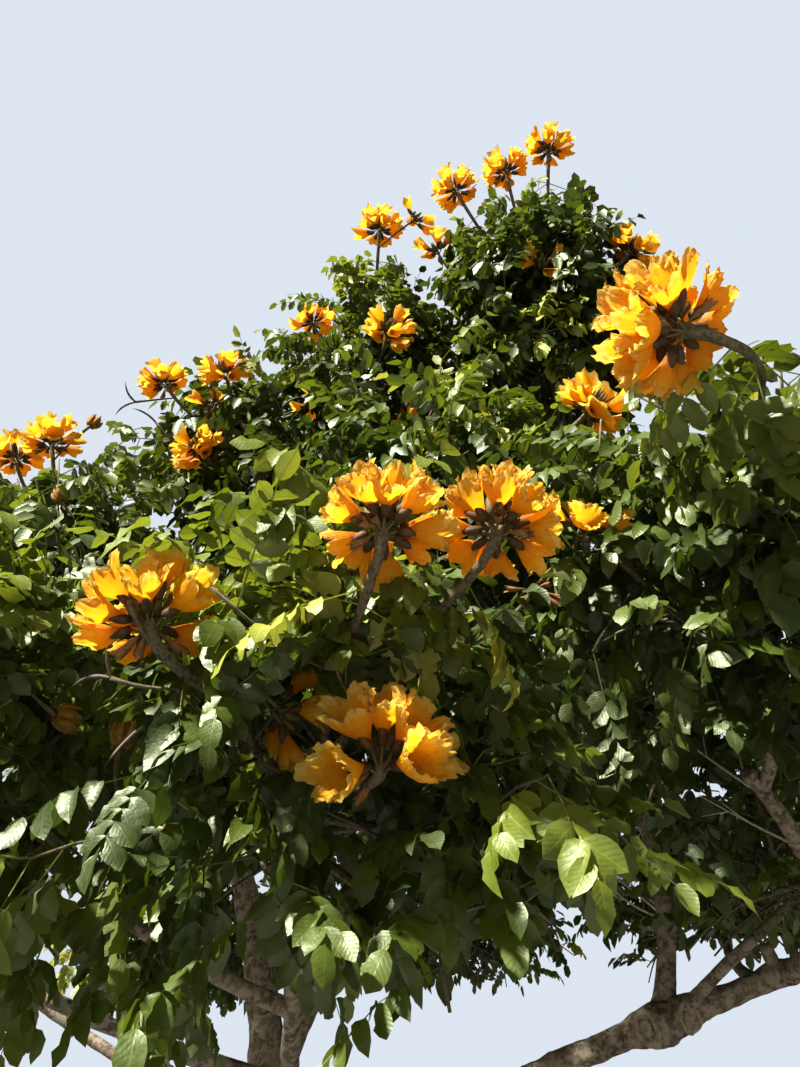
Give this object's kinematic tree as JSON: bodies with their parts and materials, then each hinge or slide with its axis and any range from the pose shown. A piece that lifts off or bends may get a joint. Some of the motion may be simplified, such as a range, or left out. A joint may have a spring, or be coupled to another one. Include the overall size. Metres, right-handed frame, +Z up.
{
  "type": "tree",
  "caption": "Whole African tulip tree of the golden-yellow form in full flower, with a short trunk, spreading boughs and rounded masses of leafy, blossoming twigs.",
  "frame": {"origin": "middle of the flat cut under the trunk, at ground level", "axes": "+Z straight up, +X to the right and -Y towards the viewer of the picture"},
  "size_m": [7.1137, 7.2718, 6.7761],
  "materials": {
    "bark": "rough",
    "foliage": "satin",
    "blossom": "satin"
  },
  "bodies": {
    "root": {"bough_shoulder_1": "bark", "bough_shoulder_2": "bark", "bough_shoulder_3": "bark", "bough_shoulder_4": "bark", "bough_shoulder_5": "bark", "bough_shoulder_6": "bark", "bough_skirt_1": "bark", "bough_skirt_2": "bark", "bough_skirt_3": "bark", "bough_skirt_4": "bark", "bough_skirt_5": "bark", "bough_skirt_6": "bark", "bough_skirt_7": "bark", "bough_skirt_8": "bark", "bough_skirt_9": "bark", "bough_top_1": "bark", "bough_top_2": "bark", "bough_top_3": "bark", "bough_upper_1": "bark", "bough_upper_2": "bark", "bough_upper_3": "bark", "leader_left": "bark", "leader_middle": "bark", "limb_back": "bark", "limb_front": "bark", "limb_front_right": "bark", "limb_right": "bark", "riser_right": "bark", "trunk": "bark", "foliage_shoulder_1": "foliage", "foliage_shoulder_2": "foliage", "foliage_shoulder_3": "foliage", "foliage_shoulder_4": "foliage", "foliage_shoulder_5": "foliage", "foliage_shoulder_6": "foliage", "foliage_skirt_1": "foliage", "foliage_skirt_2": "foliage", "foliage_skirt_3": "foliage", "foliage_skirt_4": "foliage", "foliage_skirt_5": "foliage", "foliage_skirt_6": "foliage", "foliage_skirt_7": "foliage", "foliage_skirt_8": "foliage", "foliage_skirt_9": "foliage", "foliage_top_1": "foliage", "foliage_top_2": "foliage", "foliage_top_3": "foliage", "foliage_upper_1": "foliage", "foliage_upper_2": "foliage", "foliage_upper_3": "foliage"}
  },
  "joints": []
}
